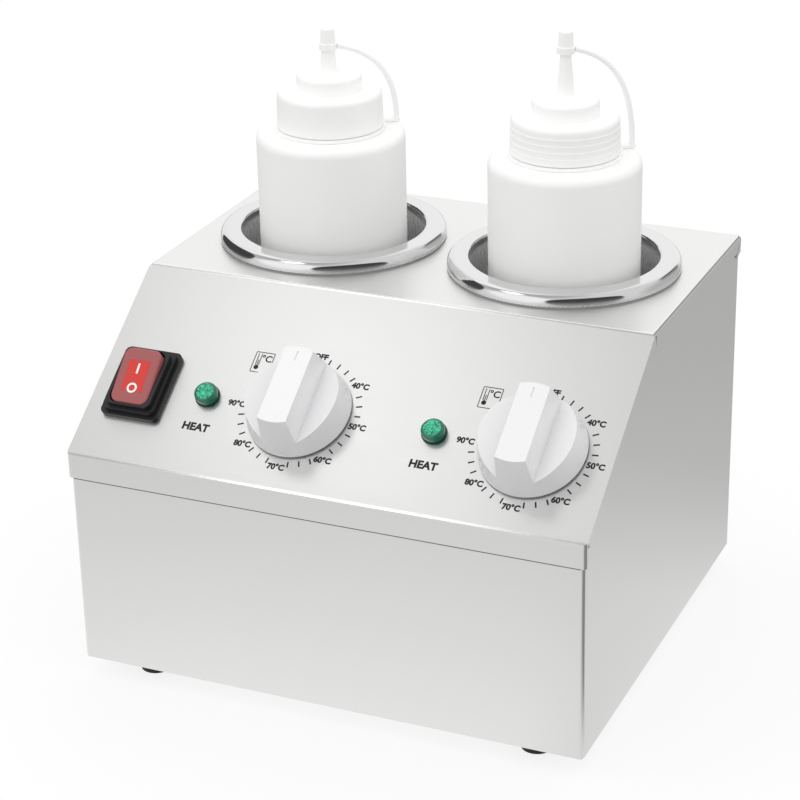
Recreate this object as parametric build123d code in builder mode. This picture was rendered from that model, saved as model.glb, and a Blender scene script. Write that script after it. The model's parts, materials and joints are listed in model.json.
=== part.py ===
from build123d import *
from math import atan2, cos, degrees, hypot, radians, sin, tan
import os

os.makedirs("parts", exist_ok=True)

# ---------------------------------------------------------------- driving dimensions (mm)
# +X runs to the right seen from the front, -Y is the front, +Z is up. The origin is on the floor, at the
# centre of the whole object's box.

# sheet housing
width = 260.0            # over the cover's side flanges
depth = 230.0            # from the front strip's face to the rear lip's face
deck_height = 183.0      # floor to the deck's top face
fold_height = 119.0      # floor to the fold between front strip and slope
strip_height = 12.0      # front strip, from that fold down to its lower edge
sheet = 1.0              # stainless sheet thickness
bend = 2.0               # outer radius of every bend
lap = 0.1                # air between lapped sheets
lip_drop = 8.0           # how far the rear lip hangs down
side_flange = 7.5        # how far the cover's side flanges hang down
slit_width = 0.5         # mitre slits between the side flanges
relief_radius = 0.8      # relief hole at the inner end of each slit
front_overlap = 8.0      # how far the front panel goes up behind the front strip
return_flange = 14.0     # inward flanges of the body wrap

# base and feet
foot_height = 9.0        # floor to the base plate
foot_radius = 8.5
foot_draft = 6.0         # degrees, the foot narrows downwards
foot_recess_radius = 4.6
foot_recess_depth = 4.0
foot_from_front = 19.5   # foot axis behind the front strip's face
foot_from_back = 24.0
foot_from_side = 30.0
panel_inset = 0.8        # base plate's and rear panel's edges inside the body wrap's face
vent_slot_length = 26.0
vent_slot_width = 3.0
vent_pitch = 8.0
vent_count = 6

# screws: clearance round a shank, and the pan heads
shank_gap = 0.15
m3_shank, m3_head, m3_head_height = 1.5, 2.8, 1.8
m4_shank, m4_head, m4_head_height = 2.0, 3.6, 2.2
m5_shank = 2.5
m4_nut_flat, m4_nut_height = 7.0, 3.2
m5_nut_flat, m5_nut_height = 8.0, 4.0
screw_past = 3.0         # how far a screw stands out behind the last sheet

# wells
rim_gap = 9.4            # between the two wells' rims
rim_from_side = 11.5     # from a rim to the cover's side
rim_from_back = 15.1     # from the rims to the rear lip's face
rim_from_fold = 10.1     # from the rims to the slope's upper fold
rim_ledge = 10.6         # how far a rim stands out round its well's inside
well_depth = 120.0       # from the rim's top to the inside floor
well_wall = 0.8
well_corner = 6.0        # outer radius round the floor
rim_height = 6.5         # the rim's top above the deck
rim_round = 3.6          # radius over the rim's outer edge
rim_inner_round = 1.2    # radius into the well
deck_hole_gap = 0.9      # round the well in the deck
gasket_thickness = 0.8
gasket_width = 6.0
gasket_inset = 0.3       # gasket's edge inside the rim's edge

# support bracket under the wells
bracket_sheet = 1.5
bracket_width = 28.0
bracket_past_well = 36.0     # bracket's end beyond each well axis
bracket_foot = 12.0
stud_past_nut = 2.0

# band heaters, insulation, cut-outs
heater_gap = 0.1
heater_thickness = 3.0
heater_height = 60.0
heater_above_floor = 14.0    # heater's lower edge above the well's inside floor
heater_split = 10.0          # opening at the front, where the sensing bulb lies
heater_ear = 7.0
heater_ear_thickness = 1.2
heater_bolt_radius = 1.6
sleeve_gap = 0.4
sleeve_apart = 7.2           # between the two sleeves
sleeve_height = 92.0
sleeve_above_floor = 6.0
sleeve_split = 19.0
cutout_radius = 8.0
cutout_height = 8.0
cutout_offset = 26.0         # behind the well axis

# control row, measured on the slope: across, and up from the lower fold
control_row = 42.5           # of knobs, pilots and switch, up the slope
switch_from_side = 24.0      # switch's middle, from the cover's left side
knob_from_switch = 82.5      # left knob's axis, to the right of the switch
knob_from_side = 38.0        # right knob's axis, from the cover's right side
pilot_from_knob = 47.8       # each pilot lamp to the left of its knob

# knobs
knob_gap = 1.2               # knob above the slope
knob_height = 24.0           # top of the grip bar above the slope
knob_radius = 25.3           # at its foot
knob_top_radius = 20.5
grip_half_top = 7.2          # half width of the grip bar at its top
grip_half_valley = 8.8       # and where it meets the scooped valley
valley_height = 10.0
scoop_rise = 0.357           # the scoop rises outwards by this share of its run
knob_cavity_radius = 21.0
knob_cavity_height = 5.0
knob_boss_radius = 6.0
pointer_length, pointer_width, pointer_depth = 5.0, 0.8, 0.4

# thermostats
spindle_radius = 3.0
spindle_flat = 1.5           # spindle's D flat, from the axis
spindle_reach = 17.0         # above the slope
spindle_depth = 18.0         # into the thermostat
running_gap = 0.05
thermostat_width, thermostat_length, thermostat_deep = 40.0, 36.0, 26.0
bushing_radius, bushing_proud = 5.0, 0.6
bushing_gap = 0.3
thermostat_screw_spacing = 28.0
bulb_radius, bulb_length = 3.0, 56.0
bulb_above_floor = 14.0
capillary_radius = 0.8
clip_thickness, clip_height, clip_inset = 0.6, 8.0, 8.0

# pilot lamps
lens_radius, lens_height = 5.6, 4.2
lens_round = 1.4
holder_rim_radius, holder_rim_height = 6.1, 0.9
holder_radius, holder_depth = 4.9, 24.0
holder_bore, lens_stem = 4.0, 6.0
pilot_gap = 0.15
clip_ring_radius, clip_ring_thickness = 7.5, 1.0

# rocker switch
bezel_width, bezel_length = 30.0, 38.0
bezel_corner = 3.0
bezel_steps = 3
bezel_step_height = 2.8
bezel_step_in = 1.6
rocker_width, rocker_length, rocker_thickness = 19.6, 28.4, 8.0
rocker_gap = 0.35            # beside the rocker
rocker_end_gap = 0.9         # beyond each end, for its swing
rocker_pivot = 6.2           # pivot axis above the slope
rocker_corner, rocker_round = 4.2, 0.9
rocker_tilt = 9.0            # degrees each way from level
rocker_pin_radius, rocker_pin_length = 1.2, 1.4
rocker_lens_width, rocker_lens_length, rocker_lens_depth = 11.0, 16.0, 0.8
switch_body_width, switch_body_length, switch_body_deep = 21.0, 29.0, 24.0
switch_cutout_gap = 0.2
switch_neck = 1.6            # switch body's top below the slope's face
blade_count, blade_pitch, blade_width = 3, 8.0, 6.3
blade_thickness, blade_length = 0.8, 9.0

# cable gland, terminal block, earth stud
gland_from_side, gland_height = 50.0, 40.0
gland_thread, gland_gap = 8.0, 0.2
gland_flange_flat, gland_flange_thickness = 20.0, 5.0
gland_nut_length, gland_nut_radius, gland_nut_mouth = 16.0, 9.6, 7.0
gland_locknut_flat, gland_locknut_thickness = 22.0, 4.0
gland_thread_inside = 9.0
cord_bore = 3.6              # for a 7 mm cord
terminal_from_gland, terminal_from_back = 40.0, 34.0
terminal_length, terminal_width, terminal_height = 38.0, 18.0, 15.0
terminal_poles, terminal_screw_spacing = 3, 30.0
earth_from_terminal, earth_from_back, earth_length = 38.0, 34.0, 16.0

# squeeze bottles
bottle_air = 9.3             # round a bottle in its well
bottle_wall = 1.2
bottle_base_round, bottle_shoulder_round = 4.0, 5.0
bottle_height = 170.0        # base to shoulder
bottle_gap = 0.3             # under the bottle in the well
neck_radius, neck_wall = 23.5, 1.6
thread_height, thread_width, thread_pitch, thread_turns = 0.9, 1.6, 4.6, 3
ring_gap, ring_thickness, ring_radius = 0.1, 1.5, 27.6
tab_reach, tab_width = 35.2, 3.6
lid_gap = 0.3                # between neck ring and lid
lid_radius, lid_top_radius, lid_height = 26.4, 25.9, 18.3
lid_wall, lid_round = 1.5, 3.0
ribbed_side, lid_rib_count = "right", 4     # the other lid's skirt is smooth
lid_rib_depth, lid_rib_width, lid_rib_pitch = 0.25, 1.1, 3.2
dome_radius, dome_height, dome_round = 16.2, 8.0, 2.2
nozzle_root, nozzle_taper, nozzle_bore, nozzle_flare = 4.2, 0.08, 1.2, 2.6
nozzle_shown = {"left": 11.5, "right": 21.5}     # of the cut-to-length nozzle, below its tip cap
nozzle_in_cap = 6.0
cap_gap = 0.1
cap_band_radius, cap_band_height = 4.3, 3.0
cap_foot_radius, cap_top_radius, cap_height, cap_round = 3.9, 3.2, 10.8, 0.9
strap_radius = 1.3
strap_turn = 39.0            # degrees, the way the strap hangs out, from +X towards +Y
strap_gap = 0.25             # between the strap's end and the tip cap
strap_lift, strap_bow, strap_fall = 0.55, 25.0, 5.0  # share that it goes straight up, and its bend's place

# ---------------------------------------------------------------- worked out from them
gland_overhang = gland_flange_thickness + gland_nut_length - sheet - lap
front_y = -(depth + gland_overhang) / 2
back_y = front_y + depth
body_bottom = foot_height + sheet
seam_height = fold_height - strip_height

rim_radius = (width / 2 - rim_from_side - rim_gap / 2) / 2
well_radius = rim_radius - rim_ledge
well_spacing = 2 * rim_radius + rim_gap
bottle_radius = well_radius - bottle_air
sleeve_radius = (well_spacing - sleeve_apart) / 2
slope_run = depth - rim_from_back - 2 * rim_radius - rim_from_fold
slope_angle = atan2(deck_height - fold_height, slope_run)

wrap_half = width / 2 - sheet - lap
wrap_front = front_y + sheet + lap
rear_face = back_y - sheet - lap
wrap_back = rear_face - sheet
panel_top = deck_height - bend - lap

well_y = back_y - rim_from_back - rim_radius
well_sides = {"left": -well_spacing / 2, "right": well_spacing / 2}
switch_x = switch_from_side - width / 2
knob_sides = {"left": switch_x + knob_from_switch, "right": width / 2 - knob_from_side}
gland_x = width / 2 - gland_from_side
terminal_x = gland_x - terminal_from_gland
earth_x = terminal_x + earth_from_terminal
well_outer = well_radius + well_wall
rim_top = deck_height + rim_height
well_floor = rim_top - well_depth
well_base = well_floor - well_wall
rim_seat = deck_height + gasket_thickness

slope = Plane(origin=(0, front_y, fold_height), x_dir=(1, 0, 0),
              z_dir=(0, -sin(slope_angle), cos(slope_angle)))


def on_slope(across, up, proud=0.0):
    """The plane parallel to the slope, centred across and up it, proud of its face."""
    spot = slope.from_local_coords((across, up, proud))
    return Plane(origin=spot, x_dir=slope.x_dir, z_dir=slope.z_dir)


def beside_slope(across, up):
    """The plane square to the slope that shows a control's section: across, and out of the slope."""
    spot = slope.from_local_coords((across, up, 0))
    return Plane(origin=spot, x_dir=slope.x_dir, z_dir=-slope.y_dir)


def outline(inset, front_low, back_low):
    """Side view of the housing, moved inwards by inset, as (y, z) corners from the front up to the back."""
    fold_z = fold_height - inset * (1 - sin(slope_angle)) / cos(slope_angle)
    top_y = front_y + slope_run + inset * tan(slope_angle / 2)
    return [
        (front_y + inset, front_low),
        (front_y + inset, fold_z),
        (top_y, deck_height - inset),
        (back_y - inset, deck_height - inset),
        (back_y - inset, back_low),
    ]


def finish(part, name, words=None):
    """Names a finished piece and writes it."""
    part.label = words or name
    export_step(part, f"parts/{name}.step")


def nearest(vertices, across, up):
    """The corner of a sketch that lies nearest to a point."""
    return vertices.sort_by_distance((across, up, 0))[0]


# ---------------------------------------------------------------- cover
def cover_block(inset, radius):
    """The cover's outside as a solid block, moved inwards by inset, with every fold rounded."""
    with BuildPart() as block:
        with BuildSketch(Plane.YZ):
            Polygon(*outline(inset, seam_height - inset, deck_height - lip_drop - inset), align=None)
        extrude(amount=width / 2 - inset, both=True)
        low = block.faces().sort_by(Axis.Z)[0].edges()
        folds = [edge for edge in block.edges() if all(edge.distance_to(other) > 1e-3 for other in low)]
        strip_corners = [edge for edge in block.edges().filter_by(Axis.Z)
                         if edge.center().Y < 0 and edge not in folds]
        fillet(folds + strip_corners, radius)
    return block.part


switch_neck_width = switch_body_width + 2 * switch_cutout_gap
switch_neck_length = switch_body_length + 2 * switch_cutout_gap
thermostat_holes = [(x + step * thermostat_screw_spacing / 2, control_row)
                    for x in knob_sides.values() for step in (-1, 1)]
pilot_spots = [(x - pilot_from_knob, control_row) for x in knob_sides.values()]
cover_screw_spots = [(x, deck_height - (lip_drop + bend) / 2) for x in well_sides.values()]
slit_lines = [(outline(bend, 0, 0)[corner], outline(side_flange + slit_width, 0, 0)[corner])
              for corner in (1, 2, 3)]

cover_core = cover_block(sheet, bend - sheet)
cover_skin = cover_block(0, bend)

with BuildPart() as cover:
    add(cover_skin)
    add(cover_core, mode=Mode.SUBTRACT)
    # below the side flanges the sides are open
    with BuildSketch(Plane.YZ):
        Polygon(*outline(side_flange, 0, 0), align=None)
    extrude(amount=width, both=True, mode=Mode.SUBTRACT)
    # mitre slits with relief holes, on both sides
    with BuildSketch(Plane.YZ) as slits:
        for start, end in slit_lines:
            run = (end[0] - start[0], end[1] - start[1])
            with Locations(Location(((start[0] + end[0]) / 2, (start[1] + end[1]) / 2, 0),
                                    (0, 0, degrees(atan2(run[1], run[0]))))):
                Rectangle(hypot(*run), slit_width)
            with Locations(start):
                Circle(relief_radius)
    for side in (-1, 1):
        extrude(slits.sketch.moved(Location((side * (width / 2 - sheet), 0, 0))),
                amount=side * 2 * sheet, mode=Mode.SUBTRACT)
    with BuildSketch(Plane.XY.offset(deck_height)):
        with Locations(*[(x, well_y) for x in well_sides.values()]):
            Circle(well_outer + deck_hole_gap)
    extrude(amount=-2 * sheet, mode=Mode.SUBTRACT)
    with BuildSketch(slope):
        with Locations(*[(x, control_row) for x in knob_sides.values()]):
            Circle(bushing_radius + bushing_gap)
        with Locations(*thermostat_holes):
            Circle(m4_shank + shank_gap)
        with Locations(*pilot_spots):
            Circle(holder_radius + pilot_gap)
        with Locations((switch_x, control_row)):
            Rectangle(switch_neck_width, switch_neck_length)
    extrude(amount=-2 * sheet, mode=Mode.SUBTRACT)
    with BuildSketch(Plane.XZ.offset(-back_y)):
        with Locations(*cover_screw_spots):
            Circle(m3_shank + shank_gap)
    extrude(amount=2 * sheet, mode=Mode.SUBTRACT)
finish(cover.part, "cover")

# ---------------------------------------------------------------- body wrap
front_screws = [(0.0, wrap_front + return_flange / 2), (well_spacing / 2, wrap_front + return_flange / 2)]
side_screws = [(side * (wrap_half - return_flange / 2), well_y + step)
               for side in (-1, 1) for step in (-well_radius, well_radius)]
base_screw_spots = front_screws + side_screws
rear_screw_spots = [(side * (wrap_half - return_flange / 2), z)
                    for side in (-1, 1) for z in (fold_height / 3, panel_top - return_flange)]

with BuildPart() as body_wrap:
    low_fold, high_fold = outline(bend + lap, body_bottom, body_bottom)[1:3]
    with BuildSketch(Plane.YZ):
        Polygon((wrap_front, body_bottom), (wrap_front, low_fold[1] - bend), low_fold, high_fold,
                (wrap_back, panel_top), (wrap_back, body_bottom), align=None)
    extrude(amount=wrap_half, both=True)
    fillet(body_wrap.edges().filter_by(Axis.Z).group_by(Axis.Y)[0], bend)
    with BuildSketch(Plane.XY) as hollow:
        with Locations((0, wrap_front + sheet)):
            Rectangle(2 * (wrap_half - sheet), depth, align=(Align.CENTER, Align.MIN))
        fillet(hollow.vertices().group_by(Axis.Y)[0], bend - sheet)
    extrude(amount=deck_height, mode=Mode.SUBTRACT)
    # the front panel ends behind the front strip
    with Locations((0, wrap_front, seam_height + front_overlap)):
        Box(2 * (wrap_half - bend), 4 * bend, deck_height, align=(Align.CENTER, Align.CENTER, Align.MIN),
            mode=Mode.SUBTRACT)
    # inward flanges: bottom front, bottom sides, and up both rear edges
    with Locations((0, wrap_front + sheet, body_bottom)):
        Box(2 * (wrap_half - return_flange - 2 * sheet), return_flange - sheet, sheet,
            align=(Align.CENTER, Align.MIN, Align.MIN))
    for side, align in ((-1, Align.MIN), (1, Align.MAX)):
        with Locations((side * (wrap_half - sheet), wrap_front + return_flange + 2 * sheet, body_bottom)):
            Box(return_flange - sheet, wrap_back - wrap_front - 2 * return_flange - 4 * sheet, sheet,
                align=(align, Align.MIN, Align.MIN))
        with Locations((side * (wrap_half - sheet), wrap_back, body_bottom + 2 * sheet)):
            Box(return_flange - sheet, sheet, panel_top - body_bottom - 4 * sheet,
                align=(align, Align.MAX, Align.MIN))
    with BuildSketch(Plane.XY.offset(body_bottom)):
        with Locations(*base_screw_spots):
            Circle(m4_shank + shank_gap)
    extrude(amount=sheet, mode=Mode.SUBTRACT)
    with BuildSketch(Plane.XZ.offset(-wrap_back)):
        with Locations(*rear_screw_spots):
            Circle(m4_shank + shank_gap)
    extrude(amount=2 * sheet, mode=Mode.SUBTRACT)
finish(body_wrap.part, "body_wrap")

# ---------------------------------------------------------------- rear panel and base plate
with BuildPart() as rear_panel:
    with BuildSketch(Plane.XZ.offset(-wrap_back)):
        with Locations((0, body_bottom)):
            Rectangle(2 * (wrap_half - panel_inset), panel_top - body_bottom,
                      align=(Align.CENTER, Align.MIN))
        with Locations((gland_x, gland_height)):
            Circle(gland_thread + gland_gap, mode=Mode.SUBTRACT)
        with Locations(*rear_screw_spots):
            Circle(m4_shank + shank_gap, mode=Mode.SUBTRACT)
        with Locations(*cover_screw_spots):
            Circle(m3_shank + shank_gap, mode=Mode.SUBTRACT)
    extrude(amount=-sheet)
finish(rear_panel.part, "rear_panel")

foot_spots = [(side * (width / 2 - foot_from_side), y) for side in (-1, 1)
              for y in (front_y + foot_from_front, back_y - foot_from_back)]
bracket_end = well_spacing / 2 + bracket_past_well
bracket_screw_spots = [(side * (bracket_end + bracket_foot / 2), well_y + step * bracket_width / 4)
                       for side in (-1, 1) for step in (-1, 1)]
terminal_y = back_y - terminal_from_back
terminal_screw_spots = [(terminal_x + step * terminal_screw_spacing / 2, terminal_y) for step in (-1, 1)]
earth_y = back_y - earth_from_back

with BuildPart() as base_plate:
    with BuildSketch(Plane.XY.offset(foot_height)):
        with Locations((0, wrap_front + panel_inset)):
            Rectangle(2 * (wrap_half - panel_inset), wrap_back + sheet - wrap_front - 2 * panel_inset,
                      align=(Align.CENTER, Align.MIN))
        with Locations(*foot_spots, *base_screw_spots, *bracket_screw_spots, *terminal_screw_spots):
            Circle(m4_shank + shank_gap, mode=Mode.SUBTRACT)
        with Locations((earth_x, earth_y)):
            Circle(m5_shank + shank_gap, mode=Mode.SUBTRACT)
        for x in well_sides.values():
            with Locations((x, well_y - bracket_width / 2 - vent_pitch * vent_count / 2)):
                with GridLocations(0, vent_pitch, 1, vent_count):
                    SlotOverall(vent_slot_length, vent_slot_width, mode=Mode.SUBTRACT)
    extrude(amount=sheet)
finish(base_plate.part, "base_plate")

# ---------------------------------------------------------------- feet and screws
with BuildPart() as feet:
    with BuildSketch(Plane.XY.offset(foot_height)):
        with Locations(*foot_spots):
            Circle(foot_radius)
            Circle(m4_shank + shank_gap, mode=Mode.SUBTRACT)
    extrude(amount=-foot_height, taper=foot_draft)
    with BuildSketch(Plane.XY):
        with Locations(*foot_spots):
            Circle(foot_recess_radius)
    extrude(amount=foot_recess_depth, mode=Mode.SUBTRACT)
finish(feet.part, "feet", "rubber feet")


def screws(spots, seat, shank, head, head_height, length):
    """Pan-head screws whose heads sit on the plane seat, their shanks running against its normal."""
    with BuildPart() as group:
        with BuildSketch(seat):
            with Locations(*spots):
                Circle(head)
        extrude(amount=head_height)
        fillet(group.faces().filter_by(lambda face: face.normal_at().dot(seat.z_dir) > 0.99).edges(),
               head_height / 2)
        with BuildSketch(seat):
            with Locations(*spots):
                Circle(shank)
        extrude(amount=-length)
        # the driving recess
        with BuildSketch(seat.offset(head_height)):
            with Locations(*spots):
                Rectangle(head, head / 5)
                Rectangle(head / 5, head)
        extrude(amount=-head_height / 2, mode=Mode.SUBTRACT)
    return group.part


def hex_nuts(spots, seat, flat, height, hole):
    """Hexagon nuts on the plane seat."""
    with BuildPart() as group:
        with BuildSketch(seat):
            with Locations(*spots):
                RegularPolygon(flat / 2, 6, major_radius=False)
                Circle(hole, mode=Mode.SUBTRACT)
        extrude(amount=height)
    return group.part


def below(spots):
    """Spots seen from underneath, where the sketch plane's second axis is turned over."""
    return [(x, -y) for x, y in spots]


under_base = Plane(origin=(0, 0, foot_height), x_dir=(1, 0, 0), z_dir=(0, 0, -1))
in_foot = under_base.offset(foot_height - foot_recess_depth)
foot_screw_length = foot_height - foot_recess_depth + sheet + m4_nut_height + stud_past_nut / 2
finish(screws(below(foot_spots), in_foot, m4_shank, m4_head, m4_head_height, foot_screw_length),
       "foot_screws")
finish(hex_nuts(foot_spots, Plane.XY.offset(body_bottom), m4_nut_flat, m4_nut_height, m4_shank),
       "foot_nuts")
finish(screws(below(base_screw_spots + bracket_screw_spots), under_base, m4_shank, m4_head,
              m4_head_height, sheet + bracket_sheet + screw_past), "base_screws")

# spots on the rear are seen from inside, as Plane.XZ shows them
behind = Plane(origin=(0, rear_face, 0), x_dir=(1, 0, 0), z_dir=(0, 1, 0))
behind_lip = behind.offset(sheet + lap)
finish(screws(below(rear_screw_spots), behind, m4_shank, m4_head, m4_head_height,
              2 * sheet + screw_past), "rear_screws")
finish(screws(below(cover_screw_spots), behind_lip, m3_shank, m3_head, m3_head_height,
              2 * sheet + lap + screw_past), "cover_screws")

# ---------------------------------------------------------------- wells
for side, x in well_sides.items():
    axis_plane = Plane(origin=(x, well_y, 0), x_dir=(1, 0, 0), z_dir=(0, -1, 0))
    with BuildPart() as well:
        with BuildSketch(axis_plane) as section:
            Polygon((0, well_base), (well_outer, well_base), (well_outer, rim_top - well_wall),
                    (rim_radius - well_wall, rim_top - well_wall), (rim_radius - well_wall, rim_seat),
                    (rim_radius, rim_seat), (rim_radius, rim_top), (well_radius, rim_top),
                    (well_radius, well_floor), (0, well_floor), align=None)
            for corner, radius in (((well_outer, well_base), well_corner),
                                   ((well_radius, well_floor), well_corner - well_wall),
                                   ((well_outer, rim_top - well_wall), rim_inner_round - well_wall),
                                   ((well_radius, rim_top), rim_inner_round),
                                   ((rim_radius - well_wall, rim_top - well_wall), rim_round - well_wall),
                                   ((rim_radius, rim_top), rim_round)):
                fillet(nearest(section.vertices(), *corner), radius)
        revolve(axis=Axis((x, well_y, 0), (0, 0, 1)))
        # the stud welded under the floor
        with BuildSketch(Plane.XY.offset(well_base)):
            with Locations((x, well_y)):
                Circle(m5_shank)
        extrude(amount=-(bracket_sheet + m5_nut_height + stud_past_nut))
    finish(well.part, f"well_{side}")

    with BuildPart() as well_gasket:
        with BuildSketch(Plane.XY.offset(deck_height)):
            with Locations((x, well_y)):
                Circle(rim_radius - gasket_inset)
                Circle(rim_radius - gasket_inset - gasket_width, mode=Mode.SUBTRACT)
        extrude(amount=gasket_thickness)
    finish(well_gasket.part, f"well_gasket_{side}")

bracket_top = well_base
with BuildPart() as support_bracket:
    with BuildSketch(Plane.XZ.offset(-well_y)):
        with BuildLine():
            # the right half of the bent channel, down its outside and back up its inside
            Polyline((0, bracket_top), (bracket_end, bracket_top), (bracket_end, body_bottom + bracket_sheet),
                     (bracket_end + bracket_foot, body_bottom + bracket_sheet),
                     (bracket_end + bracket_foot, body_bottom), (bracket_end - bracket_sheet, body_bottom),
                     (bracket_end - bracket_sheet, bracket_top - bracket_sheet),
                     (0, bracket_top - bracket_sheet), close=True)
        make_face()
        mirror(about=Plane.YZ)
    extrude(amount=bracket_width / 2, both=True)
    with BuildSketch(Plane.XY.offset(bracket_top)):
        with Locations(*[(x, well_y) for x in well_sides.values()]):
            Circle(m5_shank + shank_gap)
    extrude(amount=-bracket_sheet, mode=Mode.SUBTRACT)
    with BuildSketch(Plane.XY.offset(body_bottom)):
        with Locations(*bracket_screw_spots):
            Circle(m4_shank + shank_gap)
    extrude(amount=bracket_sheet, mode=Mode.SUBTRACT)
finish(support_bracket.part, "support_bracket")
under_bracket = Plane(origin=(0, 0, bracket_top - bracket_sheet), x_dir=(1, 0, 0), z_dir=(0, 0, -1))
finish(hex_nuts(below([(x, well_y) for x in well_sides.values()]), under_bracket, m5_nut_flat,
                m5_nut_height, m5_shank), "well_nuts")

# ---------------------------------------------------------------- heaters, insulation, cut-outs
heater_inner = well_outer + heater_gap
heater_outer = heater_inner + heater_thickness
for side, x in well_sides.items():
    with BuildPart() as heater:
        with BuildSketch(Plane.XY.offset(well_floor + heater_above_floor)):
            with Locations((x, well_y)):
                Circle(heater_outer)
                Circle(heater_inner, mode=Mode.SUBTRACT)
            with Locations((x, well_y - heater_outer)):
                Rectangle(heater_split, 3 * heater_thickness, mode=Mode.SUBTRACT)
            # the two clamp ears beside the split
            for step in (-1, 1):
                with Locations((x + step * (heater_split + heater_ear_thickness) / 2,
                                well_y - heater_inner - heater_gap)):
                    Rectangle(heater_ear_thickness, heater_ear, align=(Align.CENTER, Align.MAX))
        extrude(amount=heater_height)
        with BuildSketch(Plane(origin=(x, well_y - heater_outer - heater_ear / 3,
                                       well_floor + heater_above_floor + heater_height / 2),
                               x_dir=(0, 1, 0), z_dir=(1, 0, 0))):
            with GridLocations(0, heater_height / 2, 1, 2):
                Circle(heater_bolt_radius)
        extrude(amount=heater_split, both=True, mode=Mode.SUBTRACT)
    finish(heater.part, f"heater_{side}")

    with BuildPart() as insulation:
        with BuildSketch(Plane.XY.offset(well_floor + sleeve_above_floor)):
            with Locations((x, well_y)):
                Circle(sleeve_radius)
                Circle(heater_outer + sleeve_gap, mode=Mode.SUBTRACT)
            with Locations((x, well_y - sleeve_radius)):
                Rectangle(sleeve_split, sleeve_radius, mode=Mode.SUBTRACT)
        extrude(amount=sleeve_height)
    finish(insulation.part, f"insulation_{side}")

    with BuildPart() as cutout:
        with BuildSketch(Plane.XY.offset(well_base)):
            with Locations((x, well_y + cutout_offset)):
                Circle(cutout_radius)
        extrude(amount=-cutout_height)
        chamfer(cutout.faces().sort_by(Axis.Z)[0].edges(), sheet)
    finish(cutout.part, f"cutout_{side}", f"thermal cut-out {side}")

# ---------------------------------------------------------------- thermostats, spindles, knobs
for side, x in knob_sides.items():
    face = on_slope(x, control_row)
    with BuildPart() as thermostat:
        with BuildSketch(face.offset(-sheet)):
            Rectangle(thermostat_width, thermostat_length)
        extrude(amount=-thermostat_deep)
        with BuildSketch(face.offset(-sheet)):
            Circle(bushing_radius)
        extrude(amount=sheet + bushing_proud)
        with BuildSketch(face.offset(bushing_proud)):
            Circle(spindle_radius + running_gap)
        extrude(amount=-(bushing_proud + spindle_depth + running_gap), mode=Mode.SUBTRACT)
        with BuildSketch(face.offset(-sheet)):
            with GridLocations(thermostat_screw_spacing, 0, 2, 1):
                Circle(m4_shank + shank_gap)
        extrude(amount=-(screw_past + sheet), mode=Mode.SUBTRACT)
    finish(thermostat.part, f"thermostat_{side}")

    with BuildPart() as spindle:
        with BuildSketch(face.offset(-spindle_depth)):
            Circle(spindle_radius)
        extrude(amount=spindle_depth + spindle_reach)
        # the D flat, only where the knob grips it
        with BuildSketch(face.offset((bushing_proud + knob_gap) / 2)):
            with Locations((0, spindle_flat)):
                Rectangle(3 * spindle_radius, spindle_radius, align=(Align.CENTER, Align.MIN))
        extrude(amount=spindle_reach, mode=Mode.SUBTRACT)
    finish(spindle.part, f"spindle_{side}")

    with BuildPart() as knob:
        with BuildSketch(face.offset(knob_gap)):
            Circle(knob_radius)
        extrude(amount=knob_height - knob_gap,
                taper=degrees(atan2(knob_radius - knob_top_radius, knob_height - knob_gap)))
        # a scooped valley each side leaves the grip bar
        past = knob_radius + bend
        with BuildSketch(beside_slope(x, control_row)):
            for hand in (-1, 1):
                Polygon((hand * grip_half_top, knob_height + bend), (hand * grip_half_top, knob_height),
                        (hand * grip_half_valley, valley_height),
                        (hand * past, valley_height + scoop_rise * (past - grip_half_valley)),
                        (hand * past, knob_height + bend), align=None)
        extrude(amount=knob_radius, both=True, mode=Mode.SUBTRACT)
        with BuildSketch(face.offset(knob_gap)):
            Circle(knob_cavity_radius)
            Circle(knob_boss_radius, mode=Mode.SUBTRACT)
        extrude(amount=knob_cavity_height - knob_gap, mode=Mode.SUBTRACT)
        with BuildSketch(face) as socket:
            Circle(spindle_radius + running_gap)
            with Locations((0, spindle_flat + running_gap)):
                Rectangle(3 * spindle_radius, spindle_radius, align=(Align.CENTER, Align.MIN),
                          mode=Mode.SUBTRACT)
        extrude(amount=spindle_reach + running_gap, mode=Mode.SUBTRACT)
        with BuildSketch(face.offset(knob_height)):
            with Locations((0, knob_top_radius - pointer_length)):
                Rectangle(pointer_width, pointer_length, align=(Align.CENTER, Align.CENTER))
        extrude(amount=-pointer_depth, mode=Mode.SUBTRACT)
    finish(knob.part, f"knob_{side}")

finish(screws([(x, y) for x, y in thermostat_holes], slope, m4_shank, m4_head, m4_head_height,
              2 * sheet + screw_past), "thermostat_screws")

# sensing bulbs lie in the heater's split, against the well; the capillary runs to the thermostat
bulb_y = well_y - well_outer - heater_gap - bulb_radius
bulb_low = well_floor + bulb_above_floor
for side, x in well_sides.items():
    with BuildPart() as bulb:
        with BuildSketch(Plane.XY.offset(bulb_low)):
            with Locations((x, bulb_y)):
                Circle(bulb_radius)
        extrude(amount=bulb_length)
        fillet(bulb.faces().sort_by(Axis.Z)[0].edges(), bulb_radius / 2)
    finish(bulb.part, f"bulb_{side}")

    port = on_slope(knob_sides[side], control_row, -sheet - thermostat_deep).origin
    bulb_top = bulb_low + bulb_length
    reach = (bulb_y - port.Y) / 2
    with BuildPart() as capillary:
        with BuildLine():
            Bezier((x, bulb_y, bulb_top), (x, bulb_y, bulb_top + reach), port - reach * slope.z_dir, port)
        with BuildSketch(Plane.XY.offset(bulb_top)):
            with Locations((x, bulb_y)):
                Circle(capillary_radius)
        sweep()
    finish(capillary.part, f"capillary_{side}")

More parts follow.
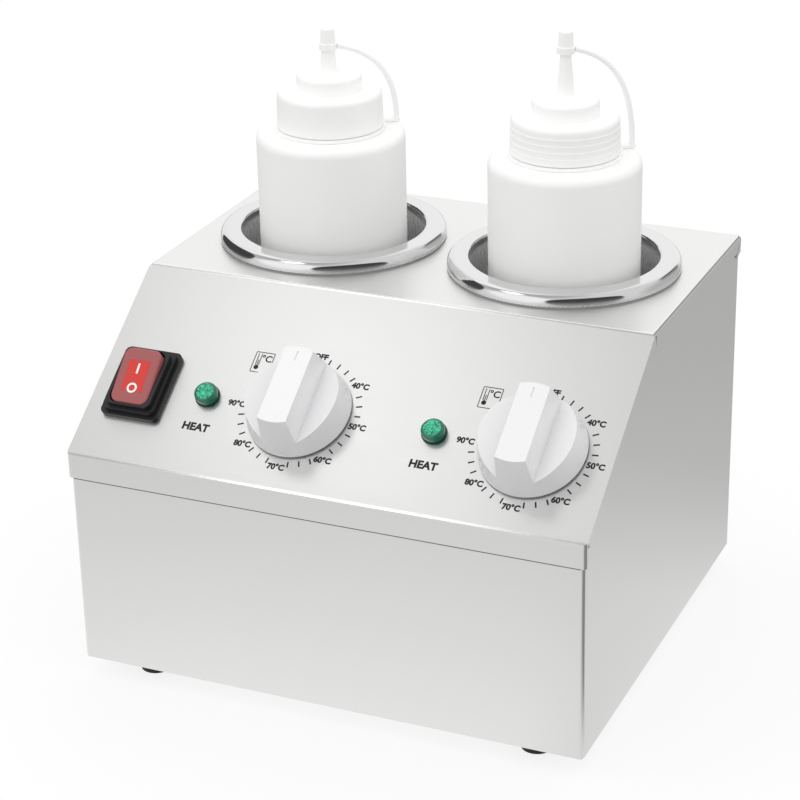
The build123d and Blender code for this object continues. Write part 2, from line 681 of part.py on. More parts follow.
with BuildPart() as bulb_clips:
    for x in well_sides.values():
        for z in (bulb_low + clip_inset, bulb_low + bulb_length - clip_inset - clip_height):
            with BuildSketch(Plane.XY.offset(z)):
                with Locations((x, bulb_y)):
                    Circle(bulb_radius + running_gap + clip_thickness)
                    Circle(bulb_radius + running_gap, mode=Mode.SUBTRACT)
                    with Locations((0, bulb_radius)):
                        Rectangle(2 * (bulb_radius + clip_thickness), 2 * bulb_radius, mode=Mode.SUBTRACT)
            extrude(amount=clip_height)
finish(bulb_clips.part, "bulb_clips")

# ---------------------------------------------------------------- pilot lamps
for side, (across, up) in zip(knob_sides, pilot_spots):
    face = on_slope(across, up)
    with BuildPart() as pilot_holder:
        with BuildSketch(face):
            Circle(holder_rim_radius)
        extrude(amount=holder_rim_height)
        with BuildSketch(face):
            Circle(holder_radius)
        extrude(amount=-holder_depth)
        with BuildSketch(face.offset(holder_rim_height)):
            Circle(holder_bore)
        extrude(amount=-(holder_rim_height + lens_stem + pilot_gap), mode=Mode.SUBTRACT)
    finish(pilot_holder.part, f"pilot_holder_{side}")

    with BuildPart() as pilot_lens:
        with BuildSketch(face.offset(holder_rim_height)):
            Circle(lens_radius)
        extrude(amount=lens_height)
        fillet(pilot_lens.edges().sort_by(lambda edge: face.to_local_coords(edge.center()).Z)[-1], lens_round)
        with BuildSketch(face.offset(holder_rim_height)):
            Circle(holder_bore - running_gap)
        extrude(amount=-lens_stem)
    finish(pilot_lens.part, f"pilot_lens_{side}")

with BuildPart() as pilot_clips:
    with BuildSketch(slope.offset(-sheet)):
        with Locations(*pilot_spots):
            Circle(clip_ring_radius)
            Circle(holder_radius + running_gap, mode=Mode.SUBTRACT)
    extrude(amount=-clip_ring_thickness)
finish(pilot_clips.part, "pilot_clips")

# ---------------------------------------------------------------- rocker switch
switch_face = on_slope(switch_x, control_row)
opening_width = rocker_width + 2 * rocker_gap
opening_length = rocker_length + 2 * rocker_end_gap
with BuildPart() as switch_bezel:
    for step in range(bezel_steps):
        with BuildSketch(switch_face.offset(step * bezel_step_height)):
            RectangleRounded(bezel_width - 2 * step * bezel_step_in, bezel_length - 2 * step * bezel_step_in,
                             bezel_corner)
        extrude(amount=bezel_step_height)
    with BuildSketch(switch_face):
        Rectangle(opening_width, opening_length)
    extrude(amount=bezel_steps * bezel_step_height, mode=Mode.SUBTRACT)
    with BuildSketch(Plane(origin=on_slope(switch_x, control_row, rocker_pivot).origin,
                           x_dir=slope.y_dir, z_dir=(1, 0, 0))):
        Circle(rocker_pin_radius + running_gap)
    extrude(amount=rocker_width / 2 + rocker_pin_length + running_gap, both=True, mode=Mode.SUBTRACT)
finish(switch_bezel.part, "switch_bezel")

with BuildPart() as switch_body:
    with BuildSketch(switch_face.offset(-switch_neck)):
        Rectangle(switch_body_width, switch_body_length)
    extrude(amount=-switch_body_deep)
    # the moulding's edge that the bezel sits on
    with BuildSketch(switch_face.offset(-switch_neck)):
        Rectangle(switch_body_width, switch_body_length)
        Rectangle(switch_body_width - 2 * sheet, switch_body_length - 2 * sheet, mode=Mode.SUBTRACT)
    extrude(amount=switch_neck)
    with BuildSketch(switch_face.offset(-switch_neck - switch_body_deep)):
        with GridLocations(0, blade_pitch, 1, blade_count):
            Rectangle(blade_width, blade_thickness)
    extrude(amount=-blade_length)
finish(switch_body.part, "switch_body")

# the rocker rests switched off: its lower half is pressed in
tilted = Rotation(rocker_tilt, 0, 0)
pivot_plane = Plane(Location(on_slope(switch_x, control_row, rocker_pivot)) * tilted)
with BuildPart() as rocker:
    with BuildSketch(pivot_plane.offset(-rocker_thickness / 2)):
        Rectangle(rocker_width, rocker_length)
    extrude(amount=rocker_thickness)
    fillet(rocker.edges().filter_by(lambda edge: abs((edge % 0.5).dot(pivot_plane.z_dir)) > 0.99),
           rocker_corner)
    fillet(rocker.faces().sort_by(lambda face: pivot_plane.to_local_coords(face.center()).Z)[-1].edges(),
           rocker_round)
    with BuildSketch(pivot_plane.offset(rocker_thickness / 2)):
        Rectangle(rocker_lens_width, rocker_lens_length)
    extrude(amount=-rocker_lens_depth, mode=Mode.SUBTRACT)
    with BuildSketch(Plane(origin=pivot_plane.origin, x_dir=pivot_plane.y_dir, z_dir=(1, 0, 0))):
        Circle(rocker_pin_radius)
    extrude(amount=rocker_width / 2 + rocker_pin_length, both=True)
finish(rocker.part, "rocker")

with BuildPart() as rocker_lens:
    with BuildSketch(pivot_plane.offset(rocker_thickness / 2 - rocker_lens_depth)):
        Rectangle(rocker_lens_width - 2 * running_gap, rocker_lens_length - 2 * running_gap)
    extrude(amount=rocker_lens_depth)
finish(rocker_lens.part, "rocker_lens")

# ---------------------------------------------------------------- cable gland
gland_axis = Plane(origin=(gland_x, rear_face, gland_height), x_dir=(1, 0, 0), z_dir=(0, 1, 0))
with BuildPart() as gland_body:
    with BuildSketch(gland_axis):
        RegularPolygon(gland_flange_flat / 2, 6, major_radius=False)
    extrude(amount=gland_flange_thickness)
    with BuildSketch(gland_axis):
        Circle(gland_thread)
    extrude(amount=gland_flange_thickness + gland_nut_length / 2)
    with BuildSketch(gland_axis):
        Circle(gland_thread)
    extrude(amount=-gland_thread_inside)
    with BuildSketch(gland_axis.offset(-gland_thread_inside)):
        Circle(cord_bore)
    extrude(amount=gland_thread_inside + gland_flange_thickness + gland_nut_length, mode=Mode.SUBTRACT)
finish(gland_body.part, "gland_body", "cable gland body")

with BuildPart() as gland_nut:
    with BuildSketch(gland_axis.offset(gland_flange_thickness)):
        Circle(gland_nut_radius)
    extrude(amount=gland_nut_length)
    chamfer(gland_nut.faces().sort_by(Axis.Y)[-1].edges(), gland_nut_length / 2,
            gland_nut_radius - gland_nut_mouth)
    with BuildSketch(gland_axis.offset(gland_flange_thickness)):
        Circle(gland_thread + running_gap)
    extrude(amount=gland_nut_length / 2 + running_gap, mode=Mode.SUBTRACT)
    with BuildSketch(gland_axis.offset(gland_flange_thickness)):
        Circle(cord_bore)
    extrude(amount=gland_nut_length, mode=Mode.SUBTRACT)
finish(gland_nut.part, "gland_nut", "cable gland dome nut")

inside_rear = Plane(origin=(gland_x, wrap_back, gland_height), x_dir=(1, 0, 0), z_dir=(0, -1, 0))
finish(hex_nuts([(0, 0)], inside_rear, gland_locknut_flat, gland_locknut_thickness,
                gland_thread + running_gap), "gland_locknut")

# ---------------------------------------------------------------- terminal block and earth stud
with BuildPart() as terminal_block:
    with Locations((terminal_x, terminal_y, body_bottom)):
        Box(terminal_length, terminal_width, terminal_height / 2,
            align=(Align.CENTER, Align.CENTER, Align.MIN))
    pole = (terminal_screw_spacing - 2 * m4_head) / terminal_poles
    for index in range(terminal_poles):
        with Locations((terminal_x + (index - (terminal_poles - 1) / 2) * pole, terminal_y,
                        body_bottom + terminal_height / 2)):
            Box(pole - sheet, terminal_width - 4 * sheet, terminal_height / 2,
                align=(Align.CENTER, Align.CENTER, Align.MIN))
    with BuildSketch(Plane.XY.offset(body_bottom)):
        with Locations(*terminal_screw_spots):
            Circle(m4_shank + shank_gap)
    extrude(amount=terminal_height, mode=Mode.SUBTRACT)
finish(terminal_block.part, "terminal_block")
finish(screws(terminal_screw_spots, Plane.XY.offset(body_bottom + terminal_height / 2), m4_shank, m4_head,
              m4_head_height, terminal_height / 2 + sheet + screw_past), "terminal_screws")

with BuildPart() as earth_stud:
    with BuildSketch(Plane.XY.offset(foot_height)):
        with Locations((earth_x, earth_y)):
            Circle(m5_shank)
    extrude(amount=earth_length)
    with BuildSketch(Plane.XY.offset(foot_height)):
        with Locations((earth_x, earth_y)):
            RegularPolygon(m5_nut_flat / 2, 6, major_radius=False)
    extrude(amount=-m5_nut_height / 2)
finish(earth_stud.part, "earth_stud")
with BuildPart() as earth_nuts:
    for z in (body_bottom, body_bottom + m5_nut_height + sheet):
        with BuildSketch(Plane.XY.offset(z)):
            with Locations((earth_x, earth_y)):
                RegularPolygon(m5_nut_flat / 2, 6, major_radius=False)
                Circle(m5_shank, mode=Mode.SUBTRACT)
        extrude(amount=m5_nut_height)
finish(earth_nuts.part, "earth_nuts")

# ---------------------------------------------------------------- squeeze bottles
bottle_base = well_floor + bottle_gap
shoulder = bottle_base + bottle_height
ring_low = shoulder + ring_gap
lid_low = ring_low + ring_thickness + lid_gap
neck_top = lid_low + lid_height - lid_wall - lid_gap
lid_top = lid_low + lid_height
dome_top = lid_top + dome_height


def nozzle_radius(height):
    """Outside of the tapered nozzle at a height above the dome."""
    return nozzle_root - nozzle_taper * height


for side, x in well_sides.items():
    section_plane = Plane(origin=(x, well_y, 0), x_dir=(1, 0, 0), z_dir=(0, -1, 0))
    bottle_axis = Axis((x, well_y, 0), (0, 0, 1))
    with BuildPart() as bottle:
        with BuildSketch(section_plane) as section:
            Polygon((0, bottle_base), (bottle_radius, bottle_base), (bottle_radius, shoulder),
                    (neck_radius, shoulder), (neck_radius, neck_top), (neck_radius - neck_wall, neck_top),
                    (neck_radius - neck_wall, shoulder - bottle_wall),
                    (bottle_radius - bottle_wall, shoulder - bottle_wall),
                    (bottle_radius - bottle_wall, bottle_base + bottle_wall), (0, bottle_base + bottle_wall),
                    align=None)
            inner = bottle_radius - bottle_wall
            for corner, radius in (((bottle_radius, bottle_base), bottle_base_round),
                                   ((inner, bottle_base + bottle_wall), bottle_base_round - bottle_wall),
                                   ((bottle_radius, shoulder), bottle_shoulder_round),
                                   ((inner, shoulder - bottle_wall), bottle_shoulder_round - bottle_wall)):
                fillet(nearest(section.vertices(), *corner), radius)
            # the neck's thread, as plain ridges
            for turn in range(thread_turns):
                with Locations((neck_radius, neck_top - thread_pitch * (turn + 0.6))):
                    Trapezoid(thread_width, thread_height, 60, rotation=-90, align=(Align.CENTER, Align.MIN))
        revolve(axis=bottle_axis)
    finish(bottle.part, f"bottle_{side}")

    with BuildPart() as neck_ring:
        with BuildSketch(Plane.XY.offset(ring_low)):
            with Locations((x, well_y)):
                Circle(ring_radius)
            with Locations(Location((x, well_y, 0), (0, 0, strap_turn))):
                Rectangle(tab_reach, tab_width, align=(Align.MIN, Align.CENTER))
            with Locations((x, well_y)):
                Circle(neck_radius + thread_height + lid_gap, mode=Mode.SUBTRACT)
        extrude(amount=ring_thickness)
    finish(neck_ring.part, f"neck_ring_{side}")

    shown = nozzle_shown[side]
    nozzle_height = shown + nozzle_in_cap
    with BuildPart() as lid:
        with BuildSketch(section_plane) as section:
            Polygon((0, lid_top), (lid_top_radius, lid_top), (lid_radius, lid_low), (0, lid_low), align=None)
            fillet(nearest(section.vertices(), lid_top_radius, lid_top), lid_round)
            with BuildLine():
                Polyline((0, lid_top), (0, dome_top), (dome_radius, dome_top), (dome_radius, lid_top),
                         close=True)
            make_face()
            fillet(nearest(section.vertices(), dome_radius, dome_top), dome_round)
            Polygon((0, dome_top), (nozzle_root, dome_top),
                    (nozzle_radius(nozzle_height), dome_top + nozzle_height),
                    (0, dome_top + nozzle_height), align=None)
            fillet(nearest(section.vertices(), nozzle_root, dome_top), nozzle_flare)
            # the hollow inside: skirt, dome and nozzle
            Polygon((0, lid_low), (lid_radius - lid_wall, lid_low),
                    (lid_radius - lid_wall, lid_top - lid_wall), (dome_radius - lid_wall, lid_top - lid_wall),
                    (dome_radius - lid_wall, dome_top - lid_wall), (nozzle_bore, dome_top - lid_wall),
                    (nozzle_bore, dome_top + nozzle_height), (0, dome_top + nozzle_height),
                    align=None, mode=Mode.SUBTRACT)
            # fine grip ribs round one skirt
            for rib in range(lid_rib_count if side == ribbed_side else 0):
                rise = lid_wall + lid_rib_pitch * (rib + 0.5)
                outside = lid_radius - (lid_radius - lid_top_radius) * rise / lid_height
                with Locations((outside - lid_rib_depth, lid_low + rise)):
                    Rectangle(4 * lid_rib_depth, lid_rib_width)
        revolve(axis=bottle_axis)
    finish(lid.part, f"lid_{side}")

    cap_low = dome_top + shown
    bore_foot = nozzle_radius(shown) + cap_gap
    bore_end = nozzle_radius(nozzle_height) + cap_gap
    with BuildPart() as tip_cap:
        with BuildSketch(section_plane) as section:
            Polygon((0, cap_low), (cap_foot_radius, cap_low), (cap_top_radius, cap_low + cap_height),
                    (0, cap_low + cap_height), align=None)
            fillet(nearest(section.vertices(), cap_top_radius, cap_low + cap_height), cap_round)
            with Locations((0, cap_low)):
                Rectangle(cap_band_radius, cap_band_height, align=(Align.MIN, Align.MIN))
            Polygon((0, cap_low), (bore_foot, cap_low), (bore_end, cap_low + nozzle_in_cap),
                    (bore_end, cap_low + nozzle_in_cap + cap_gap), (0, cap_low + nozzle_in_cap + cap_gap),
                    align=None, mode=Mode.SUBTRACT)
        revolve(axis=bottle_axis)
    finish(tip_cap.part, f"tip_cap_{side}")

    # the strap: up from the end of the ring's tab and over to the tip cap's band
    strap_low = ring_low + ring_thickness
    strap_rise = cap_low + cap_band_height / 2 - strap_low
    strap_root = tab_reach - strap_radius
    strap_plane = Plane(origin=(x, well_y, 0), x_dir=(cos(radians(strap_turn)), sin(radians(strap_turn)), 0),
                        z_dir=(sin(radians(strap_turn)), -cos(radians(strap_turn)), 0))
    with BuildPart() as strap:
        with BuildLine(strap_plane):
            Bezier((strap_root, strap_low), (strap_root, strap_low + strap_lift * strap_rise),
                   (strap_bow, strap_low + strap_rise - strap_fall),
                   (cap_band_radius + strap_gap, strap_low + strap_rise))
        with BuildSketch(Plane.XY.offset(strap_low)):
            with Locations(strap_plane.from_local_coords((strap_root, 0, 0))):
                Circle(strap_radius)
        sweep()
    finish(strap.part, f"strap_{side}")
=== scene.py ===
"""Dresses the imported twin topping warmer: finishes, dials, lamp lenses, straps and studio."""

import json
import math

import bmesh
import bpy
from bpy.props import FloatProperty, FloatVectorProperty, IntProperty, PointerProperty
from mathutils import Matrix, Vector


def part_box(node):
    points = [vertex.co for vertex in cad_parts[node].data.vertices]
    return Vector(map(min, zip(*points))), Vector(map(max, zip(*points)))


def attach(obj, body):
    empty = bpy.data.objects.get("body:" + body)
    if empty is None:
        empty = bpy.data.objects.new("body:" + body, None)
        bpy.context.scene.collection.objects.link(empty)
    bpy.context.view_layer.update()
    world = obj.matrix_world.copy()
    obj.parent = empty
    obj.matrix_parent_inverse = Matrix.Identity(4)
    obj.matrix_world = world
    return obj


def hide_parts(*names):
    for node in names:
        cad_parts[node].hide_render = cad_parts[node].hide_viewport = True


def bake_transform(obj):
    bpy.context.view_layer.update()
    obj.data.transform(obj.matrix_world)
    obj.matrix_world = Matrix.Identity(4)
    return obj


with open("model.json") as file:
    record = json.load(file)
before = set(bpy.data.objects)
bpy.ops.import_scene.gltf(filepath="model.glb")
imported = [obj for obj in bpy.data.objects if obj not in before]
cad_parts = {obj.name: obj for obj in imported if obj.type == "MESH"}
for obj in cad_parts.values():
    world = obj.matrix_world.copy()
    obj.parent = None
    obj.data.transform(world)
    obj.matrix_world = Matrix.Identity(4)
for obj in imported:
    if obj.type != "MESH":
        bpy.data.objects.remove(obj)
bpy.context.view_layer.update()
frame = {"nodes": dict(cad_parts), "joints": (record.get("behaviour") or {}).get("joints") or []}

bl_info = {
    "name": "Twin topping warmer",
    "version": (1, 0, 0),
    "blender": (4, 5, 0),
    "location": "3D View > Sidebar > Warmer",
    "description": "Finishes and fine pieces for the packed twin topping warmer",
    "category": "Object",
}

MM = 0.001
SIDES = ("left", "right")


def linear(code):
    """A #RRGGBB colour as the linear values that shaders use."""
    shares = [int(code[start:start + 2], 16) / 255 for start in (1, 3, 5)]
    return [share / 12.92 if share <= 0.04045 else ((share + 0.055) / 1.055) ** 2.4
            for share in shares]


def colour(name, description, code):
    """A colour setting of the panel."""
    return FloatVectorProperty(name=name, description=description, subtype="COLOR", min=0, max=1,
                               default=linear(code))


def length(name, description, millimetres):
    """A length setting of the panel, given in millimetres."""
    return FloatProperty(name=name, description=description, unit="LENGTH",
                         default=millimetres * MM)


def angle(name, description, turn):
    """An angle setting of the panel, given in degrees."""
    return FloatProperty(name=name, description=description, subtype="ANGLE",
                         default=math.radians(turn))


# ------------------------------------------------------------------------------ settings
class CameraSettings(bpy.types.PropertyGroup):
    azimuth: angle("Azimuth", "Turn round the warmer, from the front to its right", 23.9066)
    elevation: angle("Elevation", "Height as an angle above the counter", 24.0449)
    roll: angle("Roll", "Turn of the camera about its own line of sight", -1.2366)
    distance: length("Distance", "From the foot of the front, along the line of sight", 1155.4)
    aim_across: length("Aim across", "How far that line passes to the right of the foot", 36.09)
    aim_up: length("Aim up", "How far that line passes above the foot", 143.88)
    focal_length: FloatProperty(name="Focal length", default=110.561,
                                description="In millimetres, on a 36 mm sensor")


class DialSettings(bpy.types.PropertyGroup):
    sweep: angle("Sweep", "From OFF to the highest temperature, clockwise", 268.0)
    steps: IntProperty(name="Steps", description="Equal steps in that sweep", default=25)
    tick_radius: length("Tick radius", "Middle of each tick, from the knob's axis", 28.6)
    tick_length: length("Tick length", "Length of each tick", 3.0)
    tick_width: length("Tick width", "Width of each tick", 0.75)
    label_radius: length("Label radius", "Middle of each temperature, from the knob's axis", 30.5)
    label_height: length("Label height", "Height of the printed figures", 3.0)
    word_height: length("Word height", "Height of the printed lamp words", 4.0)
    word_drop: length("Word drop", "How far the lamp words stand below the lamps", 17.0)
    ink: length("Ink", "Thickness of the printed ink", 0.02)


class FinishSettings(bpy.types.PropertyGroup):
    stainless: colour("Satin stainless", "Belt-ground sheet", "#ECECEB")
    buffed: colour("Buffed stainless", "Polished rim of the wells", "#E2E2E2")
    plated: colour("Plated steel", "Screws and nuts", "#B9B9B8")
    knob: colour("Knob", "Moulded plastic of the knobs", "#E9E9EA")
    rocker: colour("Rocker", "Milky red cover of the rocker", "#A25656")
    window: colour("Rocker window", "Bright window in the rocker", "#D02A20")
    lamp: colour("Lamp lens", "Side of the lamps' lens", "#1E6B55")
    lamp_rim: colour("Lamp rim", "Holder behind the lens", "#15352D")
    # painted shade and painted highlight of the lens's facets
    facet_dark: colour("Dark facets", "Facets of the lens that look away", "#0B6A4C")
    facet_light: colour("Light facets", "Facets of the lens that catch the light", "#5FE3B6")
    boot: colour("Switch boot", "Neoprene round the switch", "#1B1C1D")
    ldpe: colour("Bottle plastic", "Natural polyethylene of the bottles", "#FBFBFA")
    black: colour("Black nylon", "Switch bezel, lamp holders and gland", "#17181A")
    rubber: colour("Rubber", "Feet", "#131313")
    ink: colour("Ink", "Printed dials and words", "#101012")


class WarmerSettings(bpy.types.PropertyGroup):
    camera: PointerProperty(type=CameraSettings, name="Camera", description="Where it stands")
    dial: PointerProperty(type=DialSettings, name="Dials", description="The printed dials")
    finish: PointerProperty(type=FinishSettings, name="Finishes", description="Their colours")


# ------------------------------------------------------------------------------ materials
def add_node(tree, kind, settings=None, inputs=None):
    """Adds one node with its settings. An input is a value, or a (node, output) pair to link."""
    node = tree.nodes.new(kind)
    for name, value in (settings or {}).items():
        setattr(node, name, value)
    for name, value in (inputs or {}).items():
        if isinstance(value, tuple) and isinstance(value[0], bpy.types.Node):
            tree.links.new(value[0].outputs[value[1]], node.inputs[name])
        else:
            node.inputs[name].default_value = value
    return node


def blank_material(name):
    """A material with an empty node tree."""
    material = bpy.data.materials.new(name)
    material.use_nodes = True
    material.node_tree.nodes.clear()
    return material


def close_material(material, inputs):
    """Ends a material's tree with one Principled shader."""
    tree = material.node_tree
    shader = add_node(tree, "ShaderNodeBsdfPrincipled", inputs=inputs)
    add_node(tree, "ShaderNodeOutputMaterial", inputs={"Surface": (shader, "BSDF")})
    return material


def rgba(values):
    return (*values, 1.0)


def ramp(tree, value, start, end, low=0.0, high=1.0, shape="LINEAR"):
    """Takes a value from one range to another, and stops at its ends."""
    node = add_node(tree, "ShaderNodeMapRange", {"interpolation_type": shape}, {
        "Value": value, "From Min": start, "From Max": end, "To Min": low, "To Max": high})
    return node, "Result"


def mix(tree, share, low, high):
    """Goes from one value to another as the share goes from 0 to 1."""
    node = add_node(tree, "ShaderNodeMix", {"data_type": "FLOAT"}, {0: share, 2: low, 3: high})
    return node, 0


def reckon(tree, operation, first, second=None):
    """One sum, product or other reckoning with values."""
    inputs = {0: first} if second is None else {0: first, 1: second}
    return add_node(tree, "ShaderNodeMath", {"operation": operation}, inputs), "Value"


def reckon_vectors(tree, kind, operation, first, second=None):
    """One reckoning with vectors, which gives a Value or a Vector, as kind says."""
    inputs = {0: first} if second is None else {0: first, 1: second}
    return add_node(tree, "ShaderNodeVectorMath", {"operation": operation}, inputs), kind


def split(tree, vector):
    """A vector's X, Y and Z."""
    node = add_node(tree, "ShaderNodeSeparateXYZ", inputs={"Vector": vector})
    return [(node, axis) for axis in "XYZ"]


def grained(tree, pitch_mm, run, low, high, bump_mm):
    """Noise of one pitch, drawn out along each axis by run, as a roughness and a normal."""
    place = add_node(tree, "ShaderNodeTexCoord")
    drawn = add_node(tree, "ShaderNodeMapping", inputs={
        "Vector": (place, "Object"), "Scale": tuple(1 / (pitch_mm * MM * share) for share in run)})
    noise = add_node(tree, "ShaderNodeTexNoise", inputs={
        "Vector": (drawn, "Vector"), "Scale": 1.0, "Detail": 3.0})
    bump = add_node(tree, "ShaderNodeBump", inputs={
        "Height": (noise, "Fac"), "Strength": 0.5, "Distance": bump_mm * MM})
    return ramp(tree, (noise, "Fac"), 0.0, 1.0, low, high), (bump, "Normal")


def fold_lines():
    """The front folds of the cover, at the slope's foot and head, as (y, z)."""
    low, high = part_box("cover")
    knob = joint("knob_left_turn")
    spot, out = Vector(knob["pos_m"]), Vector(knob["axis"])
    climb = -out.y / out.z       # of the slope
    return [(low.y, spot.z + climb * (low.y - spot.y)),
            (spot.y + (high.z - spot.z) / climb, high.z)]


def satin_stainless(finish):
    """Stainless sheet, belt-ground: an even soft gloss, and burnished along the folds."""
    material = blank_material("stainless_belt_ground")
    tree = material.node_tree
    # the real grit leaves scratches 0.05 mm apart, drawn 0.4 mm apart so that they show
    gloss, normal = grained(tree, 0.4, (60, 1, 1), 0.34, 0.40, 0.002)
    burnished = 0.18             # roughness along a fold
    place = add_node(tree, "ShaderNodeTexCoord")
    flat = reckon_vectors(tree, "Vector", "MULTIPLY", (place, "Object"), (0, 1, 1))
    for y, z in fold_lines():
        away = reckon_vectors(tree, "Value", "DISTANCE", flat, (0, y, z))
        gloss = mix(tree, ramp(tree, away, 0.9 * MM, 1.6 * MM, 1.0, 0.0), gloss, burnished)
    # the side folds are where the sheet faces neither the side nor straight away from it
    aside = reckon(tree, "ABSOLUTE", split(tree, (place, "Normal"))[0])
    folded = reckon(tree, "MULTIPLY", ramp(tree, aside, 0.15, 0.35, 0.0, 1.0),
                    ramp(tree, aside, 0.88, 0.98, 1.0, 0.0))
    gloss = mix(tree, folded, gloss, burnished)
    return close_material(material, {
        "Base Color": rgba(finish.stainless), "Metallic": 1.0, "Roughness": gloss,
        "Normal": normal})


def buffed_stainless(finish, deck_top):
    """Drawn stainless, its rim buffed to a mirror and its inside left as drawn and pickled."""
    material = blank_material("stainless_buffed_rim")
    tree = material.node_tree
    # the die's marks run down the wall, 0.1 mm apart on the real one, drawn 0.5 mm apart
    dull, normal = grained(tree, 0.5, (1, 1, 8), 0.24, 0.32, 0.0002)
    place = add_node(tree, "ShaderNodeTexCoord")
    rim = ramp(tree, split(tree, (place, "Object"))[2], deck_top + 1.0 * MM, deck_top + 4.0 * MM,
               shape="SMOOTHSTEP")
    return close_material(material, {
        "Base Color": rgba(finish.buffed), "Metallic": mix(tree, rim, 0.55, 1.0),
        "Roughness": mix(tree, rim, dull, 0.07), "Normal": normal})


def moulded(name, base, pitch_mm, low, high, bump_mm, **more):
    """One colour with the fine texture that a mould or a die leaves, of that pitch."""
    material = blank_material(name)
    rough, normal = grained(material.node_tree, pitch_mm, (1, 1, 1), low, high, bump_mm)
    return close_material(material, {
        "Base Color": rgba(base), "Roughness": rough, "Normal": normal, **more})


def sparkling_acrylic(finish):
    """The lens's faceted top with painted glints: small random cells painted dark or light,
    standing in for facets that face away from or towards the lamp behind.
    """
    material = blank_material("acrylic_facets_green")
    tree = material.node_tree
    place = add_node(tree, "ShaderNodeTexCoord")
    cells = add_node(tree, "ShaderNodeTexVoronoi", inputs={
        "Vector": (place, "Object"), "Scale": 1 / (0.75 * MM), "Randomness": 0.8})
    parts = add_node(tree, "ShaderNodeSeparateColor", inputs={"Color": (cells, "Color")})
    # painted glints: each cell painted dark or light at random
    tone = add_node(tree, "ShaderNodeMix", {"data_type": "RGBA"}, {
        0: (parts, "Red"), 6: rgba(finish.facet_dark), 7: rgba(finish.facet_light)})
    return close_material(material, {
        "Base Color": (tone, 2), "Roughness": ramp(tree, (parts, "Green"), 0.0, 1.0, 0.12, 0.3),
        "IOR": 1.49})


def main_materials(finish):
    """The finishes by name, each as the real one is made.

    A moulded one has its texture's pitch in mm, its least and most roughness, and its height in mm.
    """
    return {
        "stainless": satin_stainless(finish),
        "buffed": buffed_stainless(finish, deck_top=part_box("cover")[1].z),
        # steel fasteners, zinc plated: bright with a faint cloudiness
        "plated": moulded("steel_zinc_plated", finish.plated, 0.8, 0.22, 0.4, 0.004, Metallic=1.0),
        # ABS, moulded in a polished tool: glossy, with a clear highlight
        "knob": moulded("abs_moulded_gloss", finish.knob, 1.5, 0.22, 0.3, 0.002, IOR=1.53),
        # PVC boot over a nylon rocker: milky and half glossy
        "rocker": moulded("pvc_boot_milky_red", finish.rocker, 0.8, 0.25, 0.38, 0.004, IOR=1.5),
        # polycarbonate window in the rocker: clear, bright and glossy
        "window": moulded("polycarbonate_window_red", finish.window, 0.8, 0.18, 0.28, 0.003,
                          IOR=1.58),
        # glass-filled nylon: dull black with a fine texture
        "black": moulded("nylon_moulded_black", finish.black, 0.5, 0.42, 0.6, 0.01, IOR=1.5),
        # nitrile rubber: dark and nearly dead matt
        "rubber": moulded("rubber_moulded_black", finish.rubber, 0.7, 0.6, 0.8, 0.015, IOR=1.5),
        # screen ink: thin and slightly glossy
        "ink": moulded("ink_screen_printed", finish.ink, 0.3, 0.4, 0.5, 0.002),
        "white_ink": moulded("ink_pad_printed_white", linear("#F4F2F0"), 0.3, 0.35, 0.45, 0.002),
        # natural polyethylene, blown thin: milky and waxy
        "ldpe": moulded("ldpe_blow_moulded", finish.ldpe, 2.5, 0.34, 0.44, 0.006, IOR=1.51),
        # acrylic lens: clear saturated green
        "lamp": moulded("acrylic_lens_green", finish.lamp, 0.6, 0.08, 0.16, 0.002, IOR=1.49,
                        **{"Coat Weight": 0.5, "Coat Roughness": 0.05}),
        # acrylic lens top with painted glints: random cells of painted shade and painted highlight
        "facets": sparkling_acrylic(finish),
        # acrylic holder of the same moulding: darker, as its wall is thicker
        "lamp_rim": moulded("acrylic_holder_green", finish.lamp_rim, 0.6, 0.15, 0.25, 0.002,
                            IOR=1.49),
        # neoprene boot round the switch: black with a soft sheen
        "boot": moulded("neoprene_boot_black", finish.boot, 0.5, 0.34, 0.46, 0.008, IOR=1.5),
        # painted shadow of the lap joint: a dark and dull piece
        "lap_shadow_dark": moulded("polyurethane_seal_dark", linear("#3A3A3B"), 0.7, 0.5, 0.65, 0.01,
                        IOR=1.45),
        # silicone gasket under the rim: grey and dull
        "silicone": moulded("silicone_gasket_grey", linear("#9A9A98"), 0.7, 0.5, 0.65, 0.01,
                            IOR=1.43),
        # mica sheet in a plated steel jacket
        "heater": moulded("steel_heater_jacket", linear("#8E8A84"), 0.8, 0.35, 0.5, 0.01,
                          Metallic=1.0),
        # ceramic fibre: pale, coarse and dead matt
        "blanket": moulded("ceramic_fibre_blanket", linear("#E9E5DA"), 0.5, 0.85, 0.95, 0.2),
        # phenolic resin: brown and half glossy
        "phenolic": moulded("phenolic_moulded_brown", linear("#3A2C26"), 0.6, 0.35, 0.5, 0.006,
                            IOR=1.55),
        # copper drawn to a tube: warm, with a faint cloudiness
        "copper": moulded("copper_drawn_tube", linear("#C98A63"), 0.8, 0.25, 0.4, 0.004,
                          Metallic=1.0),
        # turned brass: yellow, with the tool's fine marks
        "brass": moulded("brass_turned", linear("#C9A45A"), 0.3, 0.22, 0.35, 0.004, Metallic=1.0),
        # polyamide terminal block: cream and half matt
        "polyamide": moulded("polyamide_moulded_cream", linear("#D8D2C2"), 0.6, 0.4, 0.5, 0.006,
                             IOR=1.53),
        # turned steel: bright, with the tool's fine marks
        "spindle": moulded("steel_turned_spindle", linear("#ABABAA"), 0.2, 0.22, 0.34, 0.003,
                           Metallic=1.0),
    }


materials = {}


def finish_of(context, name):
    """One finish, all of them being made at the first call."""
    if not materials:
        materials.update(main_materials(context.scene.warmer.finish))
    return materials[name]


def dress(context, nodes, finish, crease=32.0):
    """Gives CAD nodes a finish, and smooths their curved faces."""
    for name in nodes:
        mesh = frame["nodes"][name].data
        mesh.materials.clear()
        mesh.materials.append(finish_of(context, finish))
        smooth(mesh, crease)


